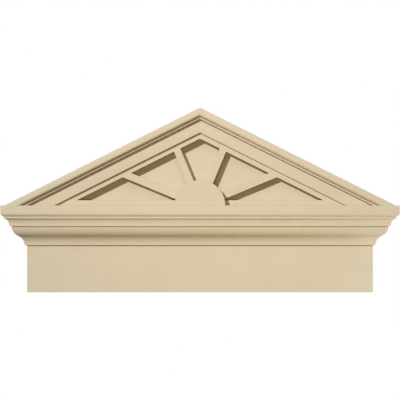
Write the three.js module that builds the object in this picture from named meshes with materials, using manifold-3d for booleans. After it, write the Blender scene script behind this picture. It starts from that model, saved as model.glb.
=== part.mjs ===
// A classical pediment for a door head: a plain frieze board, a moulded cornice with mitred returns,
// and a low gable that frames a half sunburst.
// Millimetres, +Z up, +X along the wall. The front faces -Y and every back lies on the wall, y = 0.
// The origin is the middle of the frieze board's back.
import * as THREE from "three";
import { mergeVertices } from "three/addons/utils/BufferGeometryUtils.js";
import Module from "manifold-3d";

const wasm = await Module();
wasm.setup();

// Driving dimensions of the whole
const overallWidth = 1219;
const boardThickness = 19;
const glueLine = 0.3;
const curveSteps = 8;
const cutMargin = 20;

// Frieze board
const friezeHeight = 146.7;

// Bed moulding: an ogee, measured out from the frieze's face
const bedHeight = 59.8;
const bedTopOut = 41;
const bedBottomOut = 6.8;

// Crown moulding: fascia, ovolo, fillet and cove, from the top down. Depths are measured back from the fascia.
const crownOut = 70.5;
const fasciaHeight = 22.3;
const ovoloHeight = 10.4;
const ovoloDepth = 6.6;
const filletHeight = 7;
const filletDepth = 8.4;
const coveHeight = 24.8;
const coveTopDepth = 8.9;
const coveBottomDepth = 23.9;
const coveBendDepth = 22.4;
const coveBendDrop = 2.9;

// An ovolo turns in near its foot. This is how high the turn lies, as a share of the ovolo's height.
const ovoloBend = 0.28;

// Gable: it stands back from the crown's front and in from its ends by the same ledge
const pitch = 6 / 12;
const gableLedge = 10.5;

// Raking moulding: a narrower fascia, a deeper ovolo and a bead, standing out from the flat band.
// The ovolo curves in behind the bead, which leaves a narrow quirk between them.
const rakingOut = 23;
const rakingFascia = 15.1;
const rakingOvoloHeight = 10;
const rakingOvoloDepth = 12.9;
const beadHeight = 6.4;
const beadDepth = 10.8;
const beadRadius = 6.2;

// Flat band along the slopes, measured down from the gable's top edge
const bandWidth = 67;
const bandStep = 8.5;

// Sunburst
const fretThickness = 29;
const rimWidth = 16.4;
const sillHeight = 15.8;
const rayCount = 4;
const rayWidth = 22;
const hubRadius = 77.4;
const hubThickness = 32;

// Levels and reaches that follow from the sizes above
const friezeTop = friezeHeight / 2;
const bedTop = friezeTop + bedHeight;
const crownTop = bedTop + coveHeight + filletHeight + ovoloHeight + fasciaHeight;
const friezeHalf = overallWidth / 2 - crownOut;
const slope = Math.atan(pitch);
const gableHalf = overallWidth / 2 - gableLedge;
const gableRise = gableHalf * pitch;
const gableFoot = crownTop + glueLine;
const bandFace = boardThickness + fretThickness + bandStep;
const fretFace = boardThickness + fretThickness;

// A closed solid from a geometry whose corners are shared
function solidOf(geometry) {
  const bare = geometry.clone();
  bare.deleteAttribute("normal");
  bare.deleteAttribute("uv");
  const merged = mergeVertices(bare, 1e-4);
  const mesh = new wasm.Mesh({
    numProp: 3,
    vertProperties: new Float32Array(merged.attributes.position.array),
    triVerts: new Uint32Array(merged.index.array),
  });
  return new wasm.Manifold(mesh);
}

function geometryOf(solid) {
  const mesh = solid.getMesh();
  const geometry = new THREE.BufferGeometry();
  geometry.setAttribute("position", new THREE.BufferAttribute(mesh.vertProperties, 3));
  geometry.setIndex(new THREE.BufferAttribute(mesh.triVerts, 1));
  geometry.computeVertexNormals();
  return geometry;
}

function extruded(shape, depth) {
  return new THREE.ExtrudeGeometry(shape, { depth, bevelEnabled: false, curveSegments: curveSteps });
}

// A shape drawn on the wall as (x, z), standing out towards the front from one depth to another
function upright(shape, from, to) {
  const geometry = extruded(shape, to - from);
  const across = new THREE.Vector3(1, 0, 0);
  const up = new THREE.Vector3(0, 0, 1);
  const outwards = new THREE.Vector3(0, -1, 0);
  geometry.applyMatrix4(new THREE.Matrix4().makeBasis(across, up, outwards));
  geometry.translate(0, -from, 0);
  return geometry;
}

// A section drawn as (distance out, height) and run along a line through the middle of its length
function lengthwise(section, length, middle, up) {
  const geometry = extruded(section, length);
  geometry.translate(0, 0, -length / 2);
  const outwards = new THREE.Vector3(0, -1, 0);
  const along = new THREE.Vector3().crossVectors(outwards, up);
  geometry.applyMatrix4(new THREE.Matrix4().makeBasis(outwards, up, along));
  geometry.translate(middle.x, middle.y, middle.z);
  return geometry;
}

// Profiles, from the bottom up, as points (distance out from the frieze's face, height)
function ogeeProfile() {
  const bottom = friezeTop + glueLine;
  const halfHeight = (bedTop - bottom) / 2;
  const halfReach = (bedTopOut - bedBottomOut) / 2;
  const radius = (halfHeight ** 2 + halfReach ** 2) / (2 * halfReach);
  const turn = Math.asin(halfHeight / radius);
  const path = new THREE.Path();
  path.absarc(bedBottomOut + radius, bottom, radius, Math.PI, Math.PI - turn, true);
  path.absarc(bedTopOut - radius, bedTop, radius, -turn, 0, false);
  return path.getPoints(curveSteps);
}

// Adds an ovolo under a fascia to a path, from its foot up
function addOvolo(path, fasciaOut, foot, depth, height) {
  path.lineTo(fasciaOut - depth, foot);
  path.quadraticCurveTo(fasciaOut, foot + ovoloBend * height, fasciaOut, foot + height);
}

function crownProfile() {
  const coveBottom = bedTop + glueLine;
  const filletBottom = bedTop + coveHeight;
  const ovoloFoot = filletBottom + filletHeight;
  const filletOut = crownOut - filletDepth;
  const path = new THREE.Path();
  path.moveTo(crownOut - coveBottomDepth, coveBottom);
  path.quadraticCurveTo(
    crownOut - coveBendDepth, filletBottom - coveBendDrop,
    crownOut - coveTopDepth, filletBottom,
  );
  path.lineTo(filletOut, filletBottom);
  path.lineTo(filletOut, ovoloFoot);
  addOvolo(path, crownOut, ovoloFoot, ovoloDepth, ovoloHeight);
  path.lineTo(crownOut, crownTop);
  return path.getPoints(curveSteps);
}

// A horizontal moulding: its section run along the wall, then cut at both ends to the same profile,
// which gives the mitred returns
function returnedMoulding(profile) {
  const bottom = profile[0].y;
  const top = profile.at(-1).y;
  const section = new THREE.Shape([
    new THREE.Vector2(-boardThickness, bottom),
    ...profile,
    new THREE.Vector2(-boardThickness, top),
  ]);
  const rightEdge = [
    new THREE.Vector2(profile[0].x, bottom - cutMargin),
    ...profile,
    new THREE.Vector2(profile.at(-1).x, top + cutMargin),
  ].map((point) => new THREE.Vector2(friezeHalf + point.x, point.y));
  const leftEdge = rightEdge.toReversed().map((point) => new THREE.Vector2(-point.x, point.y));
  const face = new THREE.Shape([...rightEdge, ...leftEdge]);

  const frontOfWall = new THREE.Vector3(0, -boardThickness, 0);
  const up = new THREE.Vector3(0, 0, 1);
  const run = solidOf(lengthwise(section, overallWidth + cutMargin, frontOfWall, up));
  const ends = solidOf(upright(face, -cutMargin, boardThickness + crownOut + cutMargin));
  return geometryOf(run.intersect(ends));
}

// The gable's triangle, moved in from its top edges by an inset measured square to them
function gableTriangle(inset, foot) {
  const peak = crownTop + gableRise - inset / Math.cos(slope);
  const half = (peak - foot) / pitch;
  return new THREE.Shape([
    new THREE.Vector2(-half, foot),
    new THREE.Vector2(half, foot),
    new THREE.Vector2(0, peak),
  ]);
}

// One slope of the gable, from the top edge in to an inset, mitred at the peak and cut at the foot
function slopeStrip(side, inset) {
  const mitre = glueLine / 2;
  const outerPeak = crownTop + gableRise;
  const innerPeak = outerPeak - inset / Math.cos(slope);
  const outerFoot = (outerPeak - gableFoot) / pitch;
  const innerFoot = (innerPeak - gableFoot) / pitch;
  return new THREE.Shape([
    new THREE.Vector2(side * mitre, innerPeak - mitre * pitch),
    new THREE.Vector2(side * innerFoot, gableFoot),
    new THREE.Vector2(side * outerFoot, gableFoot),
    new THREE.Vector2(side * mitre, outerPeak - mitre * pitch),
  ]);
}

function friezeBoard() {
  const shape = new THREE.Shape([
    new THREE.Vector2(-friezeHalf, -friezeHeight / 2),
    new THREE.Vector2(friezeHalf, -friezeHeight / 2),
    new THREE.Vector2(friezeHalf, friezeTop),
    new THREE.Vector2(-friezeHalf, friezeTop),
  ]);
  return upright(shape, 0, boardThickness);
}

// The moulding along one slope: its section, drawn out from the band's face and down from the top edge,
// run past both ends and cut to the slope's own outline
function rakingMoulding(side) {
  const beadTop = -rakingFascia - rakingOvoloHeight;
  const beadBottom = beadTop - beadHeight;
  const beadOut = rakingOut - beadDepth;
  const section = new THREE.Shape();
  section.moveTo(glueLine, cutMargin);
  section.lineTo(glueLine, beadBottom);
  section.absarc(beadOut - beadRadius, beadBottom + beadRadius, beadRadius, -Math.PI / 2, 0, false);
  section.lineTo(beadOut, beadTop);
  addOvolo(section, rakingOut, beadTop, rakingOvoloDepth, rakingOvoloHeight);
  section.lineTo(rakingOut, cutMargin);

  const length = gableHalf / Math.cos(slope) + 2 * overallWidth * pitch;
  const middle = new THREE.Vector3((side * gableHalf) / 2, -bandFace, crownTop + gableRise / 2);
  const up = new THREE.Vector3(side * Math.sin(slope), 0, Math.cos(slope));
  const run = solidOf(lengthwise(section, length, middle, up));
  const outline = solidOf(upright(slopeStrip(side, bandWidth), 0, bandFace + rakingOut + cutMargin));
  return geometryOf(run.intersect(outline));
}

// The hub's disc about the middle of the crown's top, cut off flat at a given level
function hubShape(foot) {
  const cut = Math.asin((foot - crownTop) / hubRadius);
  const points = [];
  const steps = 6 * curveSteps;
  for (let step = 0; step <= steps; step += 1) {
    const angle = cut + (step / steps) * (Math.PI - 2 * cut);
    points.push(new THREE.Vector2(hubRadius * Math.cos(angle), crownTop + hubRadius * Math.sin(angle)));
  }
  return new THREE.Shape(points);
}

// The sunburst panel: a triangular board whose field is cut away between the rays and the hub
function sunburstFret() {
  const outline = gableTriangle(bandWidth + glueLine, gableFoot);
  const panel = solidOf(upright(outline, boardThickness + glueLine, fretFace));
  const field = gableTriangle(bandWidth + rimWidth, crownTop + sillHeight);
  let openings = solidOf(upright(field, 0, fretFace + cutMargin));

  const disc = hubShape(crownTop - cutMargin);
  openings = openings.subtract(solidOf(upright(disc, -cutMargin, fretFace + 2 * cutMargin)));
  for (let ray = 0; ray < rayCount; ray += 1) {
    const angle = ((ray + 0.5) * Math.PI) / rayCount;
    const bar = new THREE.BoxGeometry(gableHalf, 2 * fretFace + 4 * cutMargin, rayWidth);
    bar.translate(gableHalf / 2, 0, 0);
    bar.rotateY(-angle);
    bar.translate(0, 0, crownTop);
    openings = openings.subtract(solidOf(bar));
  }
  return geometryOf(panel.subtract(openings));
}

function sunburstHub() {
  return upright(hubShape(gableFoot), fretFace + glueLine, fretFace + hubThickness);
}

// Primed moulded millwork: a warm, matt cream
const primerCream = 0xdbcaac;
const primerRoughness = 0.62;

function piece(name, geometry) {
  const material = new THREE.MeshStandardMaterial({
    color: primerCream,
    roughness: primerRoughness,
    metalness: 0,
  });
  const mesh = new THREE.Mesh(geometry, material);
  mesh.name = name;
  return mesh;
}

const pediment = new THREE.Group();
pediment.add(piece("frieze_board", friezeBoard()));
pediment.add(piece("bed_moulding", returnedMoulding(ogeeProfile())));
pediment.add(piece("crown_moulding", returnedMoulding(crownProfile())));
pediment.add(piece("tympanum_board", upright(gableTriangle(0, gableFoot), 0, boardThickness)));
pediment.add(piece("sunburst_fret", sunburstFret()));
pediment.add(piece("sunburst_hub", sunburstHub()));
for (const [name, side] of [["left", -1], ["right", 1]]) {
  const band = upright(slopeStrip(side, bandWidth), boardThickness + glueLine, bandFace);
  pediment.add(piece(`raking_band_${name}`, band));
  pediment.add(piece(`raking_moulding_${name}`, rakingMoulding(side)));
}

export default pediment;
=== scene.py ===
# %% [markdown]
# # A classical pediment for a door head
# The part is a plain frieze board, a moulded cornice with returned ends, and a low gable that frames a half
# sunburst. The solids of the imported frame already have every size. This lesson models each piece again with
# finer curves and eased edges, paints it, lights it, and leaves it exactly where the frame has it.

# %% Load the frame
import math

import bmesh
import bpy
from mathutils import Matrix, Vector


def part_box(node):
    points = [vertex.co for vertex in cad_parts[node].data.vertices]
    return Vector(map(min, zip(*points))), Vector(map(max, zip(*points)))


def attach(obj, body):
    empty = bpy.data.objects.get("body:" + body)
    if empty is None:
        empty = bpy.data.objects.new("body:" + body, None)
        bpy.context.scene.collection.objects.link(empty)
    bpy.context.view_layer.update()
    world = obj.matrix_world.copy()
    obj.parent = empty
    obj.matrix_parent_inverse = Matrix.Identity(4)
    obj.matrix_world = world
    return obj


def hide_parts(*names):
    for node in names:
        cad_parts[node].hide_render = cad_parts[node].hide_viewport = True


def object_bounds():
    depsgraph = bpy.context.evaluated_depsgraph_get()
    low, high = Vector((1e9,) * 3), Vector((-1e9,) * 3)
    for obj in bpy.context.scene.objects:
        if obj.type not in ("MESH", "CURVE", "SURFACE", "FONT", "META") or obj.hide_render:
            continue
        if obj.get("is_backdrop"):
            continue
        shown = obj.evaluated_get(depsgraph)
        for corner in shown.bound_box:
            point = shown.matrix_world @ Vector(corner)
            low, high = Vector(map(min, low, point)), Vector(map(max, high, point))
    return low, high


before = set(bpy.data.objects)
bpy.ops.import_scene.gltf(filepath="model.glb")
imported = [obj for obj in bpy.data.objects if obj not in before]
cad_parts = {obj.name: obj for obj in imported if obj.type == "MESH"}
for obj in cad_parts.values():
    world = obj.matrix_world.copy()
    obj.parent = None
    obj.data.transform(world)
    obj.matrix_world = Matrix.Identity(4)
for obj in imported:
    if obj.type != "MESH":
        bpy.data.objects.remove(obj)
cad_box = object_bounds()
mm = 0.001
print("nodes:", ", ".join(sorted(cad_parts)))

# %% [markdown]
# ## Levels and reaches
# A joiner sets a pediment out from a few lines: how far each face stands out from
# the wall, and the height of each bed. They could be typed in again, but the frame
# holds them already, so they are read from the boxes of its nodes. Only the small
# mouldings inside a box, such as a bead, are given in millimetres further down.

# %% Read the main lines from the frame
box = {name: [Vector(corner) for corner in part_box(name)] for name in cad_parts}


def face_of(name):
    """How far a node's front stands out from the wall."""
    return -box[name][0].y


board = face_of("frieze_board")
frieze_half = box["frieze_board"][1].x
crown_top = box["crown_moulding"][1].z
crown_out = face_of("crown_moulding") - board
bed_out = face_of("bed_moulding") - board
fret_face = face_of("sunburst_fret")
band_face = face_of("raking_band_left")
raking_face = face_of("raking_moulding_left")
gable_peak = box["tympanum_board"][1].z
gable_half = box["tympanum_board"][1].x
pitch = (gable_peak - box["tympanum_board"][0].z) / gable_half
slope = math.atan(pitch)
arris = 0.5 * mm
print(f"gable {2 * gable_half:.3f} m wide at a slope of {math.degrees(slope):.1f} degrees")

# %% [markdown]
# ## Camera
# The photograph was taken square on, from about two and a half widths away: the frieze, which lies deeper
# than the crown's fascia, is a little smaller than its true share. An orthographic camera would lose
# that, so a perspective one stands at the same distance, with its eye a little above the crown's top.

# %% Camera
picture_px = 400
fascia_px = 399.6
distance_px = 1060
eye_above_crown_px = 5.46
pixel = 2 * (frieze_half + crown_out) / fascia_px

bpy.ops.object.select_all(action="DESELECT")
eye = (0, -face_of("crown_moulding") - distance_px * pixel, crown_top + eye_above_crown_px * pixel)
bpy.ops.object.camera_add(location=eye, rotation=(math.pi / 2, 0, 0))
camera = bpy.context.object
camera.name = "camera"
camera.data.sensor_width = 36
camera.data.lens = camera.data.sensor_width * distance_px / picture_px
bpy.context.scene.camera = camera
print(f"camera {distance_px * pixel:.2f} m in front of the fascia, {camera.data.lens:.1f} mm lens")

# %% [markdown]
# ## Working by hand, in code
# Every piece starts as a primitive of its own size and is then worked in edit mode, as on a bench:
# sawn through with a bisect, swept with an extrude, and eased with a bevel. An operator acts on
# whatever is selected, so four helpers come first. One starts a block or a flat sheet with nothing
# else selected, one picks edges by a test on their place, and the other two saw and ease.

# %% Starting, picking, sawing and easing
sharp_corner = math.radians(30)
arris_steps = 3


def start(primitive, low, high, name):
    """Adds a primitive that fills the box from low to high, and goes into edit mode."""
    low, high = Vector(low), Vector(high)
    bpy.ops.object.select_all(action="DESELECT")
    primitive(size=1, location=(low + high) / 2)
    piece = bpy.context.object
    piece.name = name
    piece.scale = [max(length, mm) for length in high - low]
    bpy.ops.object.transform_apply(location=True, rotation=True, scale=True)
    bpy.ops.object.mode_set(mode="EDIT")
    return piece


def pick_edges(test):
    """Selects the edges of the piece in edit mode that pass the test."""
    bpy.ops.mesh.select_mode(type="EDGE")
    bpy.ops.mesh.select_all(action="DESELECT")
    work = bmesh.from_edit_mesh(bpy.context.object.data)
    for edge in work.edges:
        edge.select_set(test(edge))
    bmesh.update_edit_mesh(bpy.context.object.data)


def saw(point, away):
    """Cuts the piece in edit mode through a plane, drops the side that away points to and closes the cut."""
    bpy.ops.mesh.select_mode(type="VERT")
    bpy.ops.mesh.select_all(action="SELECT")
    bpy.ops.mesh.bisect(plane_co=point, plane_no=away, use_fill=True, clear_outer=True)


def ease(test, width=arris):
    """Rounds the sharp edges that pass the test, as sandpaper does."""
    pick_edges(lambda edge: edge.calc_face_angle(0) > sharp_corner and test(edge))
    bpy.ops.mesh.bevel(offset=width, segments=arris_steps, affect="EDGES", clamp_overlap=True)


print("helpers: start, pick_edges, saw, ease")

# %% [markdown]
# ## Paint
# Such a pediment is cut and moulded from cellular PVC and sprayed at the factory with a cream primer.
# A spray leaves a matt, even coat: no grain and no brush marks, only a very slight cloudiness in the
# tone, and a fine orange peel that breaks up the sheen. It could be one flat colour, but then the
# long boards look like plastic toys, so the tone, the roughness and the bump each get a small share
# of noise, on Object coordinates in metres, with every size worked out from millimetres.

# %% Colours and nodes
# Noise seldom leaves the middle of its range, so only this span is mapped.
noise_span = {"From Min": 0.3, "From Max": 0.7}


def linear(hex_colour):
    """An sRGB hex colour as the linear RGBA that shaders take."""
    channels = [int(hex_colour[i:i + 2], 16) / 255 for i in (1, 3, 5)]
    return [c / 12.92 if c <= 0.04045 else ((c + 0.055) / 1.055) ** 2.4 for c in channels] + [1]


def add_node(tree, kind, settings=(), links=()):
    """Adds a node, sets its sockets and links its inputs."""
    node = tree.nodes.new(kind)
    for name, value in dict(settings).items():
        node.inputs[name].default_value = value
    for name, output in dict(links).items():
        tree.links.new(output, node.inputs[name])
    return node


def across(size_mm):
    """The texture scale whose features are this many millimetres across."""
    return 1 / (size_mm * mm)


print("helpers: linear, add_node, across")

# %% Sprayed primer on cellular PVC
# To the eye: an even, warm cream with a dry, soft sheen. The mist of the spray gun shows as clouds about a
# hand wide, and the orange peel as dimples. Real dimples are about 1.5 mm across, too fine for a pixel of
# the render, so they are drawn 5 mm across.
cream_hex = "#D6CAAF"
cloud_mm = 85
dimple_mm = 5
dimple_depth_mm = 0.3
primer = bpy.data.materials.new("sprayed_primer_on_cellular_pvc")
primer.use_nodes = True
tree = primer.node_tree
tree.nodes.clear()
place = add_node(tree, "ShaderNodeTexCoord").outputs["Object"]
clouds = add_node(tree, "ShaderNodeTexNoise", {"Scale": across(cloud_mm), "Detail": 3}, {"Vector": place})
tone = add_node(tree, "ShaderNodeMapRange", {**noise_span, "To Min": 0.985, "To Max": 1.015},
                {"Value": clouds.outputs["Fac"]})
cream = add_node(tree, "ShaderNodeHueSaturation", {"Color": linear(cream_hex)},
                 {"Value": tone.outputs["Result"]})
dimples = add_node(tree, "ShaderNodeTexNoise", {"Scale": across(dimple_mm), "Detail": 1}, {"Vector": place})
sheen = add_node(tree, "ShaderNodeMapRange", {"To Min": 0.56, "To Max": 0.7},
                 {"Value": dimples.outputs["Fac"]})
peel = add_node(tree, "ShaderNodeBump", {"Strength": 0.12, "Distance": dimple_depth_mm * mm},
                {"Height": dimples.outputs["Fac"]})
shader = add_node(tree, "ShaderNodeBsdfPrincipled", {"IOR": 1.46, "Specular IOR Level": 0.3},
                  {"Base Color": cream.outputs["Color"], "Roughness": sheen.outputs["Result"],
                   "Normal": peel.outputs["Normal"]})
add_node(tree, "ShaderNodeOutputMaterial", links={"Surface": shader.outputs["BSDF"]})
print("made", primer.name, "with", len(tree.nodes), "nodes")

# %% Bare cellular PVC
# To the eye: the flat backs get no paint, so they show the board's own chalky white skin, with faint scuffs
# that run along the board where it slid through the planer. Scuffs are about 3 mm wide and far longer.
chalk_hex = "#E6E0D2"
scuff_mm = 3
scuff_length_mm = 160
bare = bpy.data.materials.new("bare_cellular_pvc")
bare.use_nodes = True
tree = bare.node_tree
tree.nodes.clear()
place = add_node(tree, "ShaderNodeTexCoord").outputs["Object"]
stretch = add_node(tree, "ShaderNodeMapping", {"Scale": (scuff_mm / scuff_length_mm, 1, 1)},
                   {"Vector": place})
scuffs = add_node(tree, "ShaderNodeTexNoise", {"Scale": across(scuff_mm), "Detail": 4},
                  {"Vector": stretch.outputs["Vector"]})
tone = add_node(tree, "ShaderNodeMapRange", {**noise_span, "To Min": 0.95, "To Max": 1.02},
                {"Value": scuffs.outputs["Fac"]})
chalk = add_node(tree, "ShaderNodeHueSaturation", {"Color": linear(chalk_hex)},
                 {"Value": tone.outputs["Result"]})
sheen = add_node(tree, "ShaderNodeMapRange", {"To Min": 0.5, "To Max": 0.75},
                 {"Value": scuffs.outputs["Fac"]})
shader = add_node(tree, "ShaderNodeBsdfPrincipled", {"IOR": 1.53, "Specular IOR Level": 0.35},
                  {"Base Color": chalk.outputs["Color"], "Roughness": sheen.outputs["Result"]})
add_node(tree, "ShaderNodeOutputMaterial", links={"Surface": shader.outputs["BSDF"]})
print("made", bare.name, "with", len(tree.nodes), "nodes")

# %% [markdown]
# ## Taking a piece off the bench
# Each piece ends the same way: doubles are merged, the normals are turned outwards, curves
# are shaded smooth while every edge sharper than a curve's own steps stays crisp, and the
# faces that lie on the wall get bare PVC. Then the piece stands in for its node of the frame.

# %% Finishing a piece
curve_step = math.radians(12)
weld = 0.01 * mm
square_to_wall = 0.99
litres_per_cubic_metre = 1000


def take_off_bench(piece, node):
    """Cleans the piece in edit mode, gives it its materials and puts it in the place of its node."""
    bpy.ops.mesh.select_mode(type="VERT")
    bpy.ops.mesh.select_all(action="SELECT")
    bpy.ops.mesh.remove_doubles(threshold=weld)
    bpy.ops.mesh.normals_make_consistent(inside=False)
    bpy.ops.object.mode_set(mode="OBJECT")
    bpy.ops.object.shade_smooth_by_angle(angle=curve_step)
    piece.data.materials.clear()
    piece.data.materials.append(primer)
    piece.data.materials.append(bare)
    for face in piece.data.polygons:
        face.material_index = int(face.normal.y > square_to_wall)
    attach(piece, "root")
    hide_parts(node)
    work = bmesh.new()
    work.from_mesh(piece.data)
    gaps = sum(not edge.is_manifold for edge in work.edges)
    litres = work.calc_volume() * litres_per_cubic_metre
    print(f"{piece.name}: {len(work.faces)} faces, {litres:.2f} litres, {gaps} open edges")
    work.free()


print("curves are smooth up to", round(math.degrees(curve_step)), "degrees a step")

# %% [markdown]
# ## Frieze board
# The frieze is one plain board, planed on all sides. A cube at its size
# is nearly the whole of it. What makes it joiner's work and not a box is
# the eased arris round its front, which catches a thin line of light.

# %% Frieze board
low, high = box["frieze_board"]
frieze = start(bpy.ops.mesh.primitive_cube_add, low, high, "frieze_board_primed")
ease(lambda edge: all(vert.co.y < -board + arris for vert in edge.verts))
take_off_bench(frieze, "frieze_board")

# %% [markdown]
# ## Profiles
# A moulding is all in its profile: the line that the cutter's knife has. A profile
# is a list of points, each the distance out from the frieze's face and a height.
# Its curves are arcs, and sweeps that are pulled towards a bend. A knife never
# leaves a perfectly sharp corner under paint, so every corner is rounded a little.

# %% Curves and corners of a profile
curve_steps = 16
corner_shares = (0, 0.33, 0.67, 1)
smooth_turn = math.radians(20)
almost_half = 0.45


def arc(centre, radii, first, last):
    """Points along an elliptical arc between two angles in degrees."""
    angles = [math.radians(first + (last - first) * i / curve_steps) for i in range(curve_steps + 1)]
    return [Vector((centre[0] + radii[0] * math.cos(a), centre[1] + radii[1] * math.sin(a))) for a in angles]


def sweep(begin, bend, end):
    """Points along a curve that leaves one point towards the bend and comes in to the other from it."""
    begin, bend, end = Vector(begin), Vector(bend), Vector(end)
    shares = [i / curve_steps for i in range(curve_steps + 1)]
    return [begin * (1 - t) ** 2 + bend * 2 * t * (1 - t) + end * t ** 2 for t in shares]


def rounded(points, radius=arris):
    """The same line with its sharp corners rounded."""
    points = [Vector(point) for point in points]
    line = points[:1]
    for before, corner, after in zip(points, points[1:], points[2:]):
        into, out = corner - before, after - corner
        turn = into.angle(out)
        if turn < smooth_turn:
            line.append(corner)
            continue
        reach = min(radius * math.tan(turn / 2), almost_half * min(into.length, out.length))
        first, last = corner - into.normalized() * reach, corner + out.normalized() * reach
        line += [first.lerp(corner, t).lerp(corner.lerp(last, t), t) for t in corner_shares]
    return line + points[-1:]


print("profiles are drawn with", curve_steps, "steps a curve")

# %% [markdown]
# ## Horizontal mouldings
# The cornice turns the corner at each end and runs back to the wall, with a mitre. One way is to sweep
# the profile along a path, but the corners then need care. It is simpler to see the moulding as a stack
# of thin rectangles, each as large as the profile is at that height: a flat sheet is extruded up by one
# step and scaled about the wall line, over and over, and both mitred returns come out by themselves.

# %% Building a moulding up from its profile
def stack(profile, name):
    """A moulding with returned ends, from a profile that runs from the bottom up."""
    out, height = profile[0]
    reach = frieze_half + out
    front_left, back_right = (-reach, -board - out, height), (reach, 0, height)
    moulding = start(bpy.ops.mesh.primitive_plane_add, front_left, back_right, name)
    bpy.ops.mesh.select_all(action="SELECT")
    for (out, height), (next_out, next_height) in zip(profile, profile[1:]):
        bpy.ops.mesh.extrude_region_move(TRANSFORM_OT_translate={"value": (0, 0, next_height - height)})
        wider = (frieze_half + next_out) / (frieze_half + out)
        deeper = (board + next_out) / (board + out)
        bpy.ops.transform.resize(value=(wider, deeper, 1), center_override=(0, 0, next_height))
    return moulding


print("a stack scales about the wall line, so every back stays flat on it")

# %% [markdown]
# ## Bed moulding
# The bed moulding fills the angle between frieze and crown. It is an ogee: a hollow curve
# below that turns over into a round one above, here two equal arcs that meet in the middle
# on one tangent. A small step at the top and the bottom sets it off from its neighbours.

# %% Bed moulding
bed_bottom, bed_top = (corner.z for corner in box["bed_moulding"])
bed_foot_out = 6.8 * mm
# A profile's line begins and ends this far inside its outer corners, so that they are rounded too.
run_in = 3 * mm
half_height = (bed_top - bed_bottom) / 2
half_reach = (bed_out - bed_foot_out) / 2
ogee_radius = (half_height ** 2 + half_reach ** 2) / (2 * half_reach)
ogee_turn = math.degrees(math.asin(half_height / ogee_radius))
ogee_radii = (ogee_radius, ogee_radius)
hollow = arc((bed_foot_out + ogee_radius, bed_bottom), ogee_radii, 180, 180 - ogee_turn)
round_over = arc((bed_out - ogee_radius, bed_top), ogee_radii, -ogee_turn, 0)
ogee = [(bed_foot_out - run_in, bed_bottom), *hollow, *round_over[1:], (bed_out - run_in, bed_top)]
bed = stack(rounded(ogee), "bed_moulding_primed")
take_off_bench(bed, "bed_moulding")

# %% [markdown]
# ## Crown moulding
# The crown is the cornice's top member. From the top down it has a broad flat fascia, an ovolo that rolls
# in under it, a flat fillet, and a cove that sweeps back to the bed moulding. The fillet stands a little
# behind the ovolo and the cove behind the fillet, and these two steps draw the fine dark lines. Most of
# the ovolo is nearly upright and it turns in only at its foot, so a curve pulled towards a bend draws it
# better than a quarter circle. The raking mouldings have an ovolo too, so it has its own function.

# %% Crown moulding
ovolo_bend = 0.28


def ovolo(face, foot, depth, height):
    """An ovolo under a fascia, from its foot up. With a height below zero, it runs downwards."""
    return sweep((face - depth, foot), (face, foot + ovolo_bend * height), (face, foot + height))


crown_bottom = box["crown_moulding"][0].z
fascia_height, ovolo_height, ovolo_depth = 22.3 * mm, 10.4 * mm, 6.6 * mm
fillet_height, fillet_out = 7 * mm, crown_out - 8.4 * mm
ovolo_foot = crown_top - fascia_height - ovolo_height
fillet_bottom = ovolo_foot - fillet_height
cove_bottom_out, cove_step = crown_out - 23.9 * mm, 0.5 * mm
cove_bend = (crown_out - 22.4 * mm, fillet_bottom - 2.9 * mm)
cove = sweep((cove_bottom_out, crown_bottom), cove_bend, (fillet_out - cove_step, fillet_bottom))
fillet = [(fillet_out, fillet_bottom), (fillet_out, ovolo_foot)]
top_edge = [(crown_out, crown_top), (crown_out - run_in, crown_top)]
crown_line = [(cove_bottom_out - run_in, crown_bottom), *cove, *fillet,
              *ovolo(crown_out, ovolo_foot, ovolo_depth, ovolo_height), *top_edge]
crown = stack(rounded(crown_line), "crown_moulding_primed")
take_off_bench(crown, "crown_moulding")

# %% [markdown]
# ## Tympanum board
# Behind the sunburst lies a plain triangular board. Its face is the floor
# of the five openings, and its back rests on the wall. A block at its
# size is sawn along both slopes, which a bisect does in one cut each.

# %% Tympanum board
sides = {"left": -1, "right": 1}


def slope_plane(side, inset):
    """A point on one slope of the gable, moved in square to it, and the direction out of the roof there."""
    out = Vector((side * math.sin(slope), 0, math.cos(slope)))
    return Vector((0, 0, gable_peak)) - out * inset, out


low, high = box["tympanum_board"]
tympanum = start(bpy.ops.mesh.primitive_cube_add, (low.x, low.y, crown_top), high, "tympanum_board_primed")
for side in sides.values():
    saw(*slope_plane(side, 0))
ease(lambda edge: all(vert.co.y > -arris for vert in edge.verts))
take_off_bench(tympanum, "tympanum_board")

# %% [markdown]
# ## Raking bands and mouldings
# A flat band runs up each slope, and a moulding with a fascia, a deep ovolo and a round
# bead runs along its top. Both are cut plumb where they meet at the peak. So the section
# is drawn on that plumb plane, where its heights are longer than square to the slope, and
# one extrude takes it down the whole slope. A saw cut levels the foot on the crown's top.

# %% Running a section down a slope
def run_down_slope(section, side, name):
    """A solid from a section of points: distance out from the wall, depth square to the slope."""
    corners = [Vector((0, -out, gable_peak - depth / math.cos(slope))) for out, depth in section]
    piece = start(bpy.ops.mesh.primitive_plane_add, corners[0], corners[0], name)
    bpy.ops.mesh.select_all(action="SELECT")
    bpy.ops.mesh.merge(type="CENTER")
    for corner, next_corner in zip(corners, corners[1:] + corners[:1]):
        bpy.ops.mesh.extrude_region_move(TRANSFORM_OT_translate={"value": next_corner - corner})
    bpy.ops.mesh.select_all(action="SELECT")
    bpy.ops.mesh.remove_doubles(threshold=weld)
    bpy.ops.mesh.edge_face_add()
    past_foot = 1.2 * gable_half
    down_slope = (side * past_foot, 0, -past_foot * pitch)
    bpy.ops.mesh.extrude_region_move(TRANSFORM_OT_translate={"value": down_slope})
    saw((0, 0, crown_top), (0, 0, -1))
    return piece


print("slopes:", ", ".join(sides))

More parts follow.
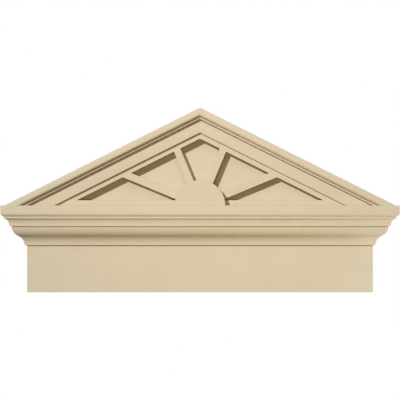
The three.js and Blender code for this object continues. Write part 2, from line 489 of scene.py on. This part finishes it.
# %% Raking bands
band_width = 67 * mm
band_back = -box["raking_band_left"][1].y
band_section = rounded([(band_back, 0), (band_back, band_width), (band_face, band_width), (band_face, 0)])
for name, side in sides.items():
    band = run_down_slope(band_section, side, f"raking_band_{name}_primed")
    take_off_bench(band, f"raking_band_{name}")

# %% Raking mouldings
raking_back = -box["raking_moulding_left"][1].y
raking_fascia, raking_ovolo_height, raking_ovolo_depth = 15.1 * mm, 10 * mm, 12.9 * mm
bead_height, bead_face, bead_radius = 6.4 * mm, raking_face - 10.8 * mm, 6.2 * mm
quirk = raking_fascia + raking_ovolo_height
bead_bottom = quirk + bead_height
raking_section = rounded([
    (raking_back, 0),
    (raking_back, bead_bottom),
    *arc((bead_face - bead_radius, bead_bottom - bead_radius), (bead_radius, -bead_radius), -90, 0),
    (bead_face, quirk),
    *ovolo(raking_face, quirk, raking_ovolo_depth, -raking_ovolo_height),
    (raking_face, 0),
    (raking_back + run_in, 0),
])
for name, side in sides.items():
    moulding = run_down_slope(raking_section, side, f"raking_moulding_{name}_primed")
    take_off_bench(moulding, f"raking_moulding_{name}")

# %% [markdown]
# ## Sunburst fret
# The sunburst is a board with five openings fretted out of it, which leaves four rays, a rim along the
# slopes and a sill. Each opening is bounded by straight cuts and by the hub's circle, so it is made as a
# block of waste: sawn to the slopes and the rays, with the hub's disc taken out of it. Boolean modifiers
# then take the five blocks of waste out of the board, and the openings' front edges are eased.

# %% The board and the disc
ray_count = 4
ray_width = 22 * mm
rim_width = 16.4 * mm
sill_top = crown_top + 15.8 * mm
glue_line = 0.3 * mm
hub_radius = box["sunburst_hub"][1].x
disc_steps = 192
fret_low, fret_high = box["sunburst_fret"]
fret_foot = (fret_low.x, fret_low.y, crown_top)
fret = start(bpy.ops.mesh.primitive_cube_add, fret_foot, fret_high, "sunburst_fret_primed")
for side in sides.values():
    saw(*slope_plane(side, band_width + glue_line))
bpy.ops.object.mode_set(mode="OBJECT")


def turn_disc(middle_y, depth, name):
    """A disc of the hub's radius that faces the front, centred on the crown's top."""
    bpy.ops.object.select_all(action="DESELECT")
    bpy.ops.mesh.primitive_cylinder_add(vertices=disc_steps, radius=hub_radius, depth=depth,
                                        location=(0, middle_y, crown_top), rotation=(math.pi / 2, 0, 0))
    disc = bpy.context.object
    disc.name = name
    bpy.ops.object.transform_apply(location=True, rotation=True, scale=True)
    return disc


def take_away(piece, waste):
    """Cuts one solid out of another with a boolean modifier, and applies it."""
    bpy.ops.object.select_all(action="DESELECT")
    bpy.context.view_layer.objects.active = piece
    piece.select_set(True)
    bpy.ops.object.modifier_add(type="BOOLEAN")
    cut = piece.modifiers[-1]
    cut.operation, cut.solver, cut.object = "DIFFERENCE", "EXACT", waste
    bpy.ops.object.modifier_apply(modifier=cut.name)


print("fret board", [round(length, 4) for length in fret_high - fret_low])

# %% The five openings
past_face = 1.5 * fret_face
disc = turn_disc(0, 4 * fret_face, "hub_disc")
for opening in range(ray_count + 1):
    waste = start(bpy.ops.mesh.primitive_cube_add, (-gable_half, -past_face, sill_top),
                  (gable_half, 0, gable_peak), f"waste_{opening}")
    for side in sides.values():
        saw(*slope_plane(side, band_width + rim_width))
    for ray, keep in ((opening - 1, 1), (opening, -1)):
        if 0 <= ray < ray_count:
            angle = math.pi * (ray + 0.5) / ray_count
            across_ray = keep * Vector((-math.sin(angle), 0, math.cos(angle)))
            saw(Vector((0, 0, crown_top)) + across_ray * ray_width / 2, -across_ray)
    bpy.ops.object.mode_set(mode="OBJECT")
    take_away(waste, disc)
    take_away(fret, waste)
    bpy.data.objects.remove(waste)
bpy.data.objects.remove(disc)
print("cut", ray_count + 1, "openings")

# %% Ease the openings
bpy.ops.object.mode_set(mode="EDIT")
hair = 0.1 * mm
margin = 1 * mm
opening_arris = 0.6 * mm
rim_planes = [slope_plane(side, band_width + rim_width - margin) for side in sides.values()]


def round_an_opening(edge):
    """True for an edge on the fret's face that lies on one of the openings."""
    ends = [vert.co for vert in edge.verts]
    on_face = all(end.y < -fret_face + hair for end in ends)
    above_sill = all(end.z > sill_top - margin for end in ends)
    inside = all((end - point).dot(out) < 0 for end in ends for point, out in rim_planes)
    return on_face and above_sill and inside


ease(round_an_opening, opening_arris)
take_off_bench(fret, "sunburst_fret")

# %% [markdown]
# ## Sunburst hub
# The hub is a thick half disc planted on the fret where the rays meet, and it
# throws the small dark crescent at its right. A cylinder turned to face the front
# and sawn level at the crown's top is the whole shape, and its front rim is eased.

# %% Sunburst hub
hub_low, hub_high = box["sunburst_hub"]
hub = turn_disc((hub_low.y + hub_high.y) / 2, hub_high.y - hub_low.y, "sunburst_hub_primed")
bpy.ops.object.mode_set(mode="EDIT")
saw((0, 0, crown_top), (0, 0, -1))
ease(lambda edge: all(vert.co.y < hub_low.y + hair for vert in edge.verts))
take_off_bench(hub, "sunburst_hub")

# %% [markdown]
# ## Floor
# The part hangs above a door, so the floor lies a door's height below it. It is plain and pale, out of
# the picture in the front view, and its only work there is to send a little light up into the undersides.
# The key only grazes it, so a glow that nothing but the camera sees keeps it pale in the other views.

# %% Floor
door_height = 2.03
floor_half = 4
floor_level = box["frieze_board"][0].z - door_height
floor = start(bpy.ops.mesh.primitive_plane_add, (-floor_half, -floor_half, floor_level),
              (floor_half, floor_half, floor_level), "floor")
bpy.ops.object.mode_set(mode="OBJECT")
screed = bpy.data.materials.new("pale_floor_screed")
screed.use_nodes = True
tree = screed.node_tree
tree.nodes.clear()
seen = add_node(tree, "ShaderNodeLightPath").outputs["Is Camera Ray"]
shader = add_node(tree, "ShaderNodeBsdfPrincipled",
                  {"Base Color": linear("#ECEAE4"), "Roughness": 0.8, "Emission Color": linear("#B4B2AE")},
                  {"Emission Strength": seen})
add_node(tree, "ShaderNodeOutputMaterial", links={"Surface": shader.outputs["BSDF"]})
floor.data.materials.append(screed)
floor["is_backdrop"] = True
print(f"floor at {floor_level:.2f} m")

# %% [markdown]
# ## Light
# In the photograph one clear light comes from the upper left and throws narrow, crisp shadows down to the
# right. The key could be a lamp, but a sun keeps its shadows parallel over the whole width. The lit walls
# of the openings send some of it on to the floors beside them, and in the photograph that glow is faint.
# So the key is two suns in one: the weaker one bounces as light does, and the other lights only what it
# reaches straight. Panels then open up the shadows: a warm one in front, a white one above it, and an
# amber one below the middle. The undersides grow lighter from left to right, so two more stand at the
# right, one low and one close to the end. One high behind the part lights its back and both slopes,
# without a bounce, so that the floor doesn't carry its light round to the front. The hollows of the crown
# and of the right-hand raking moulding are still lighter in the photograph. A photographer would light
# them with lamps that flags keep off all the rest, and light linking does the same here: a white panel
# from below reaches the crown alone, and a wide amber sun from the left reaches the raking moulding alone.

# %% Key
def aim(light, direction):
    """Turns a light so that it shines along a direction."""
    light.rotation_euler = Vector(direction).to_track_quat("-Z", "Y").to_euler()


def sun(name, strength, colour, along, width):
    """A sun that shines along a direction and is some degrees wide."""
    bpy.ops.object.light_add(type="SUN", location=(-2, -4, 2))
    light = bpy.context.object
    light.name = name
    light.data.energy = strength
    light.data.color = colour
    light.data.angle = math.radians(width)
    aim(light, along)
    return light


key_strength = 2.65
bounced_share = 0.3
key_look = {"colour": (1, 1, 1.03), "along": (0.537, 1, -0.49), "width": 0.6}
sun("key_bounced", key_strength * bounced_share, **key_look)
straight = sun("key_straight", key_strength * (1 - bounced_share), **key_look)
straight.data.cycles.max_bounces = 0
print("key:", key_strength, "watts a square metre")

# %% Panels
def panel(name, place, target, size, watts, colour):
    """A square soft light at a place, turned to a target."""
    bpy.ops.object.light_add(type="AREA", location=place)
    light = bpy.context.object
    light.name = name
    light.data.size = size
    light.data.energy = watts
    light.data.color = colour
    aim(light, Vector(target) - Vector(place))
    return light


white, warm, amber = (1, 1, 1), (1, 0.74, 0.45), (1, 0.64, 0)
ivory, cool = (1, 0.93, 0.72), (0.95, 1, 1.15)
middle = (0, 0, 0.2)
underside, right_underside, right_end = (0.1, -0.02, 0.1), (0.5, -0.02, 0.1), (0.56, -0.05, 0.12)
panel("front_fill", (0, -1.3, 0.2), middle, size=0.6, watts=3.72, colour=warm)
panel("top_fill", (0, -0.92, 1.12), middle, size=0.6, watts=2.32, colour=white)
panel("under_fill", (0.2, -0.1, -0.9), underside, size=0.4, watts=1.4, colour=amber)
panel("low_fill", (0.9, -0.06, -0.7), right_underside, size=0.4, watts=2.6, colour=ivory)
panel("end_fill", (0.82, -0.05, -0.1), right_end, size=0.15, watts=0.6, colour=cool)
back_light = panel("back_light", (0.3, 2.3, 1.7), middle, size=1.2, watts=60, colour=white)
back_light.data.cycles.max_bounces = 0

# %% Lights for the hollows
def keep_to(light, piece):
    """Lets a light reach one piece alone, as flags do in a studio."""
    reached = bpy.data.collections.new(f"reached_by_{light.name}")
    reached.objects.link(piece)
    light.light_linking.receiver_collection = reached
    print(light.name, "reaches", piece.name)


crown_underside = (-0.2, -0.08, 0.15)
crown_glow = panel("crown_glow", (-0.2, -0.16, -0.9), crown_underside, size=0.4, watts=2.3, colour=white)
keep_to(crown_glow, crown)
deep_amber = (1, 0.6, 0)
side_glow = sun("side_glow", 0.9, deep_amber, along=(1, 0.1, 0), width=20)
keep_to(side_glow, bpy.data.objects["raking_moulding_right_primed"])

# %% [markdown]
# ## World
# The picture needs a plain white ground behind the part. A world that is white to everything would give it,
# but its even light would also fill the shadows. So the world is white paper to the camera alone and nearly
# dark to the part, and the panels shape the shadows.

# %% World
world = bpy.data.worlds.new("studio")
bpy.context.scene.world = world
world.use_nodes = True
tree = world.node_tree
tree.nodes.clear()
seen = add_node(tree, "ShaderNodeLightPath").outputs["Is Camera Ray"]
room = add_node(tree, "ShaderNodeBackground", {"Color": (1, 1, 1, 1), "Strength": 0.01})
paper = add_node(tree, "ShaderNodeBackground", {"Color": (1, 1, 1, 1), "Strength": 1})
either = add_node(tree, "ShaderNodeMixShader", links={"Fac": seen})
tree.links.new(room.outputs["Background"], either.inputs[1])
tree.links.new(paper.outputs["Background"], either.inputs[2])
add_node(tree, "ShaderNodeOutputWorld", links={"Surface": either.outputs["Shader"]})
bpy.context.scene.view_settings.view_transform = "Standard"
print("world: white paper behind, a nearly dark room around")

# %% [markdown]
# ## Print the sizes and finish
# The dressed part has to stay in the frame's own box. Both boxes are printed.

# %% Finish
visual_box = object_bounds()
for name, (low, high) in {"frame": cad_box, "dressed": visual_box}.items():
    print(name, [round(length, 4) for length in high - low])
